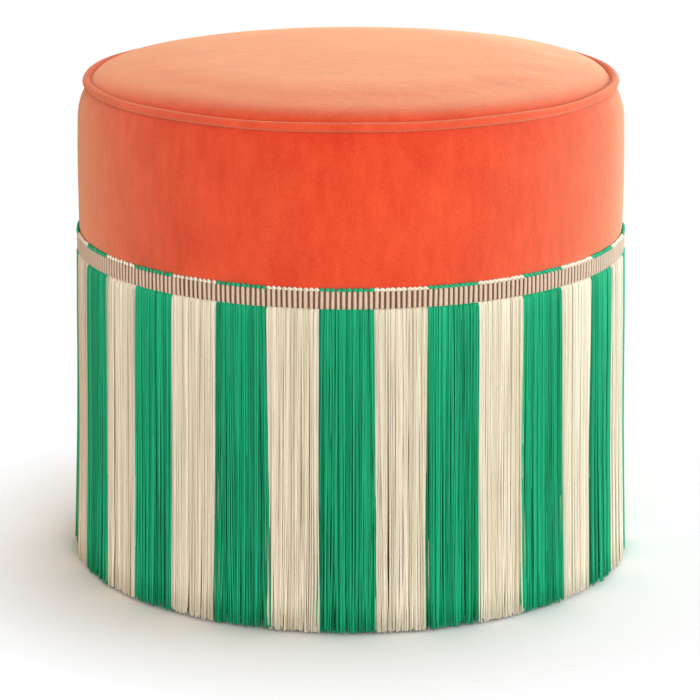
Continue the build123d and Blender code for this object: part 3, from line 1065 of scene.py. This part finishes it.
@dataclass
class LiningBand:
    """Dark lining below the velvet, down behind the fringe and turned under the base; its near-black colour
    is partly painted shade seen between the yarns.
    """

    columns: int = 360
    wall_steps: int = 10
    corner_steps: int = 6
    hem_steps: int = 6
    pleats: int = 90
    pleat_depth: float = 0.0005
    pleat_wander: float = 2.0
    pleat_sharpness: int = 3
    pleat_seed: int = 53

    def profile(self) -> np.ndarray:
        """Straight down behind the fringe, round the base's edge and in as the hem.

        Returns:
            Points as (radius, height).
        """
        s = SIZES
        corner = s.hem_corner
        start = (s.band_radius, s.hem_bottom + corner)
        end = (s.band_radius - corner, s.hem_bottom)
        slant = corner * math.sqrt(0.5)
        return joined(
            straight((s.band_radius, s.velvet_bottom), start, self.wall_steps),
            arc(start, (end[0] + slant, start[1] - slant), end, self.corner_steps),
            straight(end, (s.hem_edge, s.hem_bottom), self.hem_steps),
        )

    def build(self, finishes: Finishes) -> bpy.types.Object:
        """Turns the profile round the drum, with small pleats where it goes under.

        A pleat is a sine round the drum, brought to 0 to 1 and sharpened by a power, and its
        phase wanders with smooth noise.

        Args:
            finishes: The materials.

        Returns:
            The lining.
        """
        s = SIZES
        profile = self.profile()
        grid = turned(profile, self.columns)
        angle = np.arctan2(grid[:, :, 1], grid[:, :, 0])
        drawn_in = np.clip((s.band_radius - profile[:, 0]) / s.hem_corner, 0, 1)
        phase = self.pleat_wander * smooth_noise(angle, angle * 0, self.pleat_seed)
        pleat = (0.5 + 0.5 * np.sin(self.pleats * angle + phase)) ** self.pleat_sharpness
        grid[:, :, 2] += self.pleat_depth * pleat * drawn_in
        faces = grid_faces(self.columns, len(profile), True, False)[:, ::-1]
        lining = make_piece("lining_band_cloth", grid, faces)
        thicken(lining, s.velvet)
        settle(lining, finishes["lining_cloth"], ("lining_band",))
        return lining


@dataclass
class Piping:
    """Velvet-covered cord sewn into the seat's edge."""

    columns: int = 720
    sides: int = 18
    clearance: float = 0.0001
    unevenness: float = 0.00012
    uneven_seed: int = 31
    wander: float = 0.0002
    wander_seed: int = 37
    wander_waves: int = 5

    def build(self, finishes: Finishes) -> bpy.types.Object:
        """Round section carried round the seam, its radius and height slightly uneven.

        Args:
            finishes: The materials.

        Returns:
            The piping.
        """
        s = SIZES
        a = np.linspace(0, TAU, self.columns, endpoint=False)[:, None]
        b = np.linspace(0, TAU, self.sides, endpoint=False)[None, :]
        thick = s.piping_radius - self.clearance + self.unevenness * smooth_noise(a, b * 0, self.uneven_seed)
        r = s.seam_radius + s.piping_radius + thick * np.cos(b)
        wander = self.wander * smooth_noise(a, b * 0, self.wander_seed, self.wander_waves)
        z = s.piping_height + thick * np.sin(b) + wander
        faces = grid_faces(self.columns, self.sides, True, True)
        piping = make_piece("piping_velvet", ring_points(r, a, z), faces)
        return settle(piping, finishes["stretched_velvet"], ("piping_cover",))


@dataclass
class HeadingTape:
    """Ribbed tape that holds the fringe, and the picot loops along its top."""

    rib_share: float = 0.62
    rib_power: float = 2.6
    rib_spread: float = 0.04
    rib_seed: int = 41
    relief: float = 0.0013
    sway: float = 0.045
    loop_sink: float = 0.0004
    loop_middle: float = 0.0012
    loop_reach: float = 0.0007
    loop_slant: float = 0.85
    loop_steps: int = 7
    loop_sides: int = 7
    loop_seed: int = 43
    loop_turn: Span = (0.06, 0.94)
    loop_foot: float = 0.78
    loop_bulge: float = 0.22
    # Painted light: the loops take a paler tone than the hanging yarn, as if lit from above; taller loops
    # are paler still.
    lit_loop_tone: float = 0.85
    loop_tone_spread: float = 0.10
    rise_spread: float = 0.08
    aside_spread: float = 0.05
    thick_spread: float = 0.05
    loop_radius: ClassVar[dict[YarnColour, float]] = {YarnColour.GREEN: 0.00100, YarnColour.CREAM: 0.00118}
    across_rib: ClassVar[tuple[float, ...]] = (-0.5, -0.39, -0.31, -0.27, -0.15, 0, 0.15, 0.27, 0.31, 0.39)
    up_face: ClassVar[tuple[float, ...]] = (0, 0, 0.015, 0.05, 0.2, 0.35, 0.5, 0.65, 0.8, 0.95, 0.985, 1, 1)
    turned_in: ClassVar[tuple[float, ...]] = (1, 0.4, 0.15, 0.03, 0, 0, 0, 0, 0, 0.03, 0.15, 0.4, 1)

    def ribs(self, finishes: Finishes) -> bpy.types.Object:
        """Flat-topped round ribs: height is the root of 1 - (place / half width) to a power.

        The section up the face is straight, with rounded ends that turn in towards the
        cover; the rib's height is kept as the tone of each vertex, which the finish uses for the dark ground
        and painted shade between the ribs.

        Args:
            finishes: The materials.

        Returns:
            The tape.
        """
        s = SIZES
        rng = np.random.default_rng(self.rib_seed)
        number = np.repeat(np.arange(s.rib_count), len(self.across_rib))
        across = np.tile(self.across_rib, s.rib_count)
        up = np.array(self.up_face)[None, :]
        lean = rng.normal(0, self.sway, (s.rib_count, 2))
        lean = np.concatenate([lean, lean[:1]])
        places = (number + across)[:, None]
        nearest = places[:, 0] % s.rib_count
        shift = [np.interp(nearest, np.arange(s.rib_count + 1), side) for side in lean.T]
        places = places + shift[0][:, None] * (1 - up) + shift[1][:, None] * up
        width = self.rib_share / 2 * rng.normal(1.0, self.rib_spread, s.rib_count)[number]
        rib = np.sqrt(np.clip(1 - np.abs(across / width) ** self.rib_power, 0, 1))[:, None]
        r = s.tape_radius - self.relief * (1 - rib) - np.array(self.turned_in) * s.tape_thickness
        z = s.tape_bottom + up * (s.tape_top - s.tape_bottom)
        points = ring_points(r, s.first_rib + places * s.rib_angle, z)
        faces = grid_faces(points.shape[0], points.shape[1], True, False)
        tone = np.broadcast_to(rib, points.shape[:2])
        tape = make_piece("heading_tape_ribs", points, faces, tone=tone)
        return settle(tape, finishes["taupe_tape"], ("heading_tape",))

    def picots(self, colour: YarnColour, finishes: Finishes) -> bpy.types.Object:
        """Yarn looped over the tape's edge: slanting half circles that bulge at the top.

        A loop goes from behind the tape up over its edge and down in front, where its end
        lies further to the right; its thickness grows with the sine of the turn.

        Args:
            colour: Which stripes' loops.
            finishes: The materials.

        Returns:
            The loops of that colour.
        """
        s = SIZES
        rng = np.random.default_rng(self.loop_seed + colour.value)
        rib = np.arange(s.rib_count)
        rib = rib[rib // s.ribs_per_stripe % 2 == colour.value][:, None]
        turn = np.linspace(*self.loop_turn, self.loop_steps)[None, :] * math.pi
        high, aside, thick = rng.normal(0, 1.0, (3, rib.size, 1))
        foot = s.tape_top - self.loop_sink
        yarn = self.loop_radius[colour]
        rise = (s.picot_top - foot - yarn) * (1 + self.rise_spread * high)
        r = s.tape_radius - self.loop_middle - self.loop_reach * np.cos(turn)
        place = rib + self.loop_slant * (turn / math.pi - 0.5) + self.aside_spread * aside
        paths = ring_points(r, s.first_rib + place * s.rib_angle, foot + rise * np.sin(turn))
        bulge = self.loop_foot + self.loop_bulge * np.sin(turn)
        radii = yarn * bulge * (1 + self.thick_spread * thick)
        points, faces, uv = tubes(paths, radii, self.loop_sides, radial=True)
        # Painted light: a pale tone for the loops, paler for the taller ones.
        tone = np.clip(self.lit_loop_tone + self.loop_tone_spread * high, 0.0, 1.0)
        tone = np.repeat(tone, points.shape[1] * points.shape[2])
        slug = colour.name.lower()
        loops = make_piece(f"{slug}_picots", points, faces, uv, tone)
        return settle(loops, finishes[f"{slug}_yarn"])

    def build(self, finishes: Finishes) -> None:
        """Makes the ribs and both colours of loops.

        Args:
            finishes: The materials.
        """
        self.ribs(finishes)
        for colour in YarnColour:
            self.picots(colour, finishes)


@dataclass
class Fringe:
    """Long straight yarns in stripes of two colours, from the tape nearly to the floor."""

    sides: int = 4
    seed: int = 61
    start_above: float = 0.0022
    fan_height: float = 0.007
    gather: float = 0.12
    place_spread: float = 0.03
    hidden_below: float = 0.0015
    hidden_run: float = 0.003
    yarn_thickness: Span = (0.72, 1.12)
    short_mean: float = 0.0013
    short_most: float = 0.010
    stray_share: float = 0.05
    stray_short: Span = (0.001, 0.006)
    stray_drift: float = 0.0030
    yarn_drift: float = 0.0009
    yarn_lift: float = 0.0005
    root_lift: float = 0.00040
    wave_height: float = 0.0002
    wave_turn: float = 6.0
    wave_phase: float = 2.0
    lock_sizes: tuple[int, int] = (4, 10)
    lock_height: float = 0.060
    lock_closing: Span = (0.1, 0.45)
    lock_closing_power: float = 1.6
    lock_drift: float = 0.0011
    lock_drift_power: float = 1.3
    lock_lift: float = 0.0007
    middle_tone: float = 0.63
    yarn_tone: float = 0.27
    lock_tone: float = 0.07
    inner_shade: float = 0.24
    # Painted light on the yarns just under the tape: the tone added at the top, and the share of the length
    # over which it fades.
    painted_top_light: float = 0.16
    painted_top_light_share: float = 0.15
    steps: ClassVar[tuple[float, ...]] = (0, 0.020, 0.060, 0.20, 0.40, 0.60, 0.78, 0.91, 1.0)
    splay_share: ClassVar[tuple[float, ...]] = (0.0, 0.12, 0.55, 0.89, 1.0)
    splay: ClassVar[tuple[float, ...]] = (0.0, 0.0009, 0.0022, 0.0046, 0.0055)
    widening: ClassVar[dict[YarnColour, float]] = {YarnColour.GREEN: 0.040, YarnColour.CREAM: -0.030}

    def locks(self, stripe: np.ndarray, rng: np.random.Generator) -> np.ndarray:
        """Gathers neighbouring yarns of one stripe into locks of a random size.

        Args:
            stripe: Number of each yarn's stripe.
            rng: Source of the sizes.

        Returns:
            Number of the lock that each yarn falls in.
        """
        widths = rng.integers(*self.lock_sizes, stripe.size)
        run = np.repeat(np.arange(stripe.size), widths)[: stripe.size]
        return np.unique(stripe * stripe.size + run, return_inverse=True)[1]

    def paths(
        self, colour: YarnColour, layer: FringeLayer, rng: np.random.Generator
    ) -> tuple[np.ndarray, np.ndarray]:
        """Where the yarns of one colour and layer hang.

        A rib's yarns leave the tape close together and fan out as 1 - exp(-drop / height).
        Below, each yarn drifts with its share of the length, leans with its lock and is
        drawn to the lock's middle near the tip; the whole fringe splays out downwards.

        Args:
            colour: Which stripes.
            layer: Which layer.
            rng: Source of the unevenness.

        Returns:
            Points, yarns by steps by 3, and the tone of each yarn.
        """
        s = SIZES
        to_a_rib = layer.to_a_rib
        number = np.arange(s.rib_count * to_a_rib)
        stripe = number // (to_a_rib * s.ribs_per_stripe)
        number, stripe = (array[stripe % 2 == colour.value] for array in (number, stripe))
        count = number.size
        lock = self.locks(stripe, rng)
        in_lock = np.bincount(lock)

        def per_lock(spread: float) -> np.ndarray:
            """One random value for each lock, given to each of its yarns."""
            return rng.normal(0, spread, in_lock.size)[lock][:, None]

        def per_yarn(spread: float) -> np.ndarray:
            """One random value for each yarn."""
            return rng.normal(0, spread, count)[:, None]

        start_z = s.tape_bottom + self.start_above
        stray = rng.random(count) < self.stray_share
        short = rng.exponential(self.short_mean, count) + stray * rng.uniform(*self.stray_short, count)
        tip = s.fringe_tip + np.minimum(short, self.short_most)[:, None]
        share = np.array(self.steps)[None, :]
        z = start_z - share * (start_z - tip)

        rib = s.first_rib + (number // to_a_rib) * s.rib_angle
        within = ((number % to_a_rib + 0.5) / to_a_rib - 0.5) * s.rib_angle
        within = within[:, None] + per_yarn(self.place_spread) * s.rib_angle
        fanned = within * (1 - self.gather * np.exp((z - start_z) / self.fan_height))
        middle = s.first_rib + (stripe * s.ribs_per_stripe + (s.ribs_per_stripe - 1) / 2) * s.rib_angle
        hang = rib[:, None] + within
        widened = (hang - middle[:, None]) * self.widening[colour] * np.sqrt(share)
        lock_middle = (np.bincount(lock, weights=hang[:, 0]) / in_lock)[lock][:, None]
        closing = np.clip(1 - (z - tip) / self.lock_height, 0, 1) ** self.lock_closing_power
        pull = rng.uniform(*self.lock_closing, in_lock.size)[lock][:, None]
        closed = (lock_middle - hang) * pull * closing
        drift = per_lock(self.lock_drift) * share**self.lock_drift_power + per_yarn(self.yarn_drift) * share
        drift = drift + per_yarn(self.stray_drift) * stray[:, None] * share**2
        height, phase = per_yarn(self.wave_height), per_yarn(self.wave_phase)
        wave = height * np.sin(self.wave_turn * share + phase) * share
        angle = rib[:, None] + fanned + widened + closed + (drift + wave) / s.tape_radius

        lift = (per_lock(self.lock_lift) + per_yarn(self.yarn_lift)) * share + per_yarn(self.root_lift)
        r = s.tape_radius - layer.depth + np.interp(share, self.splay_share, self.splay) + lift
        hidden = np.clip((z - s.tape_bottom + self.hidden_below) / self.hidden_run, 0, 1)
        r = r - hidden * np.maximum(r - (s.tape_radius - s.tape_thickness), 0)
        tone = self.middle_tone + per_yarn(self.yarn_tone) + per_lock(self.lock_tone)
        if layer is not FringeLayer.FRONT:
            tone = tone - self.inner_shade
        return ring_points(r, angle, z), np.clip(tone[:, 0], 0.0, 1.0)

    def build(self, colour: YarnColour, finishes: Finishes) -> bpy.types.Object:
        """Makes the yarns of one colour as one piece, with painted light that makes them paler at the top as
        exp(-share / width).

        Args:
            colour: Which stripes.
            finishes: The materials.

        Returns:
            The fringe of that colour.
        """
        rng = np.random.default_rng(self.seed + colour.value)
        layers = {layer: self.paths(colour, layer, rng) for layer in FringeLayer}
        paths = np.concatenate([path for path, _ in layers.values()])
        tones = np.concatenate([tone for _, tone in layers.values()])
        radii = np.concatenate([np.full(len(tone), layer.yarn) for layer, (_, tone) in layers.items()])
        radii = radii * rng.uniform(*self.yarn_thickness, radii.size)
        points, faces, uv = tubes(paths, radii[:, None], self.sides)
        # Painted light: the yarns are paler at the top, where they leave the tape.
        painted_light = self.painted_top_light * np.exp(-np.pad(self.steps, 1, mode="edge") / self.painted_top_light_share)
        tone = np.repeat(np.clip(tones[:, None] + painted_light, 0.0, 1.0), self.sides)
        slug = colour.name.lower()
        yarns = make_piece(f"{slug}_fringe_yarns", points, faces, uv, tone)
        return settle(yarns, finishes[f"{slug}_yarn"], (f"{slug}_fringe",))


@dataclass
class Staples:
    """Wire staples that hold the turned hem and the dust cover to the base."""

    crown: float = 0.010
    leg: float = 0.0012
    corner: float = 0.0006
    wire: float = 0.00045
    sink: float = 0.8
    sway: float = 0.12
    sides: int = 6
    seed: int = 71
    # Name, count, radius and height of each ring of staples.
    rows: ClassVar[tuple[tuple[str, int, float, float], ...]] = (
        ("hem_staples", 30, 0.1885, bottom("lining_band")),
        ("dust_cover_staples", 24, 0.1785, bottom("dust_cover")),
    )

    def build(self, finishes: Finishes) -> None:
        """Each staple is a wire that goes up, across and up again, bent at two corners.

        Args:
            finishes: The materials.
        """
        half = self.crown / 2
        inner = half - self.corner
        across = np.array([[-half, -half, -inner, 0.0, inner, half, half]])
        up = np.array([[self.leg, self.corner, 0.0, 0.0, 0.0, self.corner, self.leg]])
        for name, count, radius, height in self.rows:
            rng = np.random.default_rng(self.seed + count)
            a = (np.arange(count) / count * TAU)[:, None]
            turn = rng.normal(0, self.sway, count)[:, None]
            x = radius + across * np.sin(turn)
            y = across * np.cos(turn)
            z = np.broadcast_to(height - self.wire * self.sink + up, x.shape)
            path = np.stack([x * np.cos(a) - y * np.sin(a), x * np.sin(a) + y * np.cos(a), z], axis=2)
            points, faces, uv = tubes(path, np.array([[self.wire]]), self.sides)
            settle(make_piece(name, points, faces, uv), finishes["zinc_steel"])


@dataclass
class DrumFrame:
    """CAD nodes that show, or stay inside, with their own finishes."""

    slots: dict[str, str] = field(
        default_factory=lambda: {s["node"]: s["material_slot"] for s in frame["record"]["subparts"]}
    )

    def dress(self, finishes: Finishes) -> None:
        """Gives each node that is still shown the finish of its slot.

        Args:
            finishes: The materials.
        """
        for node, piece in frame["nodes"].items():
            if not piece.hide_render:
                piece.data.materials.clear()
                piece.data.materials.append(finishes[self.slots[node]])
                LOG.info("%s: dressed as %s", node, self.slots[node])


@dataclass(frozen=True)
class SoftLamp:
    """Square soft lamp: its place and side in metres, its power in watts."""

    name: str
    place: Triple
    side: float
    power: float
    colour: Colour = (1.0, 1.0, 1.0)

    def hang(self, target: Vector) -> None:
        """Puts the lamp in the scene, turned to a point.

        Args:
            target: Point that it is aimed at.
        """
        data = bpy.data.lights.new(self.name, "AREA")
        data.size = self.side
        data.energy = self.power
        data.color = self.colour
        lamp = bpy.data.objects.new(self.name, data)
        lamp.location = self.place
        lamp.rotation_euler = (target - Vector(self.place)).to_track_quat("-Z", "Y").to_euler()
        bpy.context.collection.objects.link(lamp)


# Colours of the light, which is warm on the left and cool on the right.
WARM: Colour = (1.0, 0.60, 0.39)
COOL: Colour = (0.78, 0.95, 1.0)


@dataclass
class Studio:
    """Pale floor, soft light and the camera at the photograph's angle."""

    lens: float = 155.16
    sensor: float = 36.0
    distance: float = 2.306
    eye_height: float = 0.795
    pitch: float = math.radians(15.44)
    orbit: float = math.radians(0.8)
    aside: float = -0.0006
    surroundings: Colour = (0.29, 0.256, 0.206)
    floor_tone: float = 0.92
    floor_fade: Span = (0.222, 0.36)
    floor_hole: float = 0.001
    floor_reach: float = 0.60
    floor_columns: int = 64
    floor_rows: int = 4
    target: ClassVar[Vector] = Vector((0.0, 0.0, 0.22))
    lamps: ClassVar[tuple[SoftLamp, ...]] = (
        SoftLamp("front", (0.08, -1.9, 0.6), 1.2, 22.5),
        SoftLamp("front_high", (0.4, -1.8, 1.35), 1.2, 7.0),
        SoftLamp("left", (-2.0, 1.0, 0.7), 1.6, 18.0, WARM),
        SoftLamp("right", (2.1, 0.0, 0.6), 1.0, 27.0, COOL),
        SoftLamp("behind_right", (2.0, 1.1, 0.4), 0.8, 13.5, COOL),
        SoftLamp("behind_low", (0.85, 1.85, 0.25), 0.6, 19.0, COOL),
        SoftLamp("behind_high", (0.5, 1.5, 1.5), 1.8, 21.0),
    )

    def camera(self) -> None:
        """Camera in front of the ottoman, looking down at it, with no shift."""
        data = bpy.data.cameras.new("camera")
        data.lens = self.lens
        data.sensor_width = self.sensor
        eye = bpy.data.objects.new("camera", data)
        back = Vector((math.sin(self.orbit), -math.cos(self.orbit), 0.0))
        right = Vector((math.cos(self.orbit), math.sin(self.orbit), 0.0))
        eye.location = back * self.distance + right * self.aside + Vector((0, 0, self.eye_height))
        eye.rotation_euler = (math.pi / 2 - self.pitch, 0.0, self.orbit)
        bpy.context.collection.objects.link(eye)
        bpy.context.scene.camera = eye

    def world(self) -> None:
        """Even surroundings: white where they are seen, softer and a little warm as light."""
        world = bpy.data.worlds.new("surroundings")
        bpy.context.scene.world = world
        world.use_nodes = True
        tree = world.node_tree
        tree.nodes.clear()
        path = tree.nodes.new("ShaderNodeLightPath")
        seen = path.outputs["Is Camera Ray"]
        for way in ("Is Glossy Ray", "Is Transmission Ray"):
            either = tree.nodes.new("ShaderNodeMath")
            either.operation = "MAXIMUM"
            tree.links.new(seen, either.inputs[0])
            tree.links.new(path.outputs[way], either.inputs[1])
            seen = either.outputs[0]
        level = tree.nodes.new("ShaderNodeMix")
        level.data_type = "RGBA"
        level.inputs[MIX_LOW].default_value = (*self.surroundings, 1.0)
        level.inputs[MIX_HIGH].default_value = (1.0, 1.0, 1.0, 1.0)
        tree.links.new(seen, level.inputs[MIX_FACTOR])
        light = tree.nodes.new("ShaderNodeBackground")
        tree.links.new(level.outputs[MIX_RESULT], light.inputs[0])
        out = tree.nodes.new("ShaderNodeOutputWorld")
        tree.links.new(light.outputs[0], out.inputs[0])

    def floor(self) -> None:
        """Pale round floor that fades into the white surroundings."""
        profile = straight((self.floor_hole, 0.0), (self.floor_reach, 0.0), self.floor_rows)
        faces = grid_faces(self.floor_columns, self.floor_rows, True, False)[:, ::-1]
        floor = make_piece("floor", turned(profile, self.floor_columns), faces)
        s = Shader("pale_floor")
        place = s.add("ShaderNodeTexCoord").outputs["Object"]
        away = s.add("ShaderNodeVectorMath", {0: place}, operation="LENGTH").outputs["Value"]
        s.set(Base_Color=(*[self.floor_tone] * 3, 1.0), Roughness=0.9, Specular_IOR_Level=0.0)
        s.set(Alpha=s.span(away, self.floor_fade, (1.0, 0.0)))
        floor.data.materials.append(s.material)

    def build(self) -> None:
        """Sets up the floor, the light and the camera."""
        bpy.context.scene.view_settings.view_transform = "Standard"
        self.world()
        self.floor()
        for lamp in self.lamps:
            lamp.hang(self.target)
        self.camera()


def main() -> None:
    """Builds the ottoman piece by piece, then the studio."""
    logging.basicConfig(level=logging.INFO, format="%(name)s: %(message)s")
    finishes = Finishes()
    SeatTop().build(finishes)
    SideBand().build(finishes)
    LiningBand().build(finishes)
    Piping().build(finishes)
    HeadingTape().build(finishes)
    for colour in YarnColour:
        Fringe().build(colour, finishes)
    Staples().build(finishes)
    DrumFrame().dress(finishes)
    Studio().build()


if __name__ == "__main__":
    main()
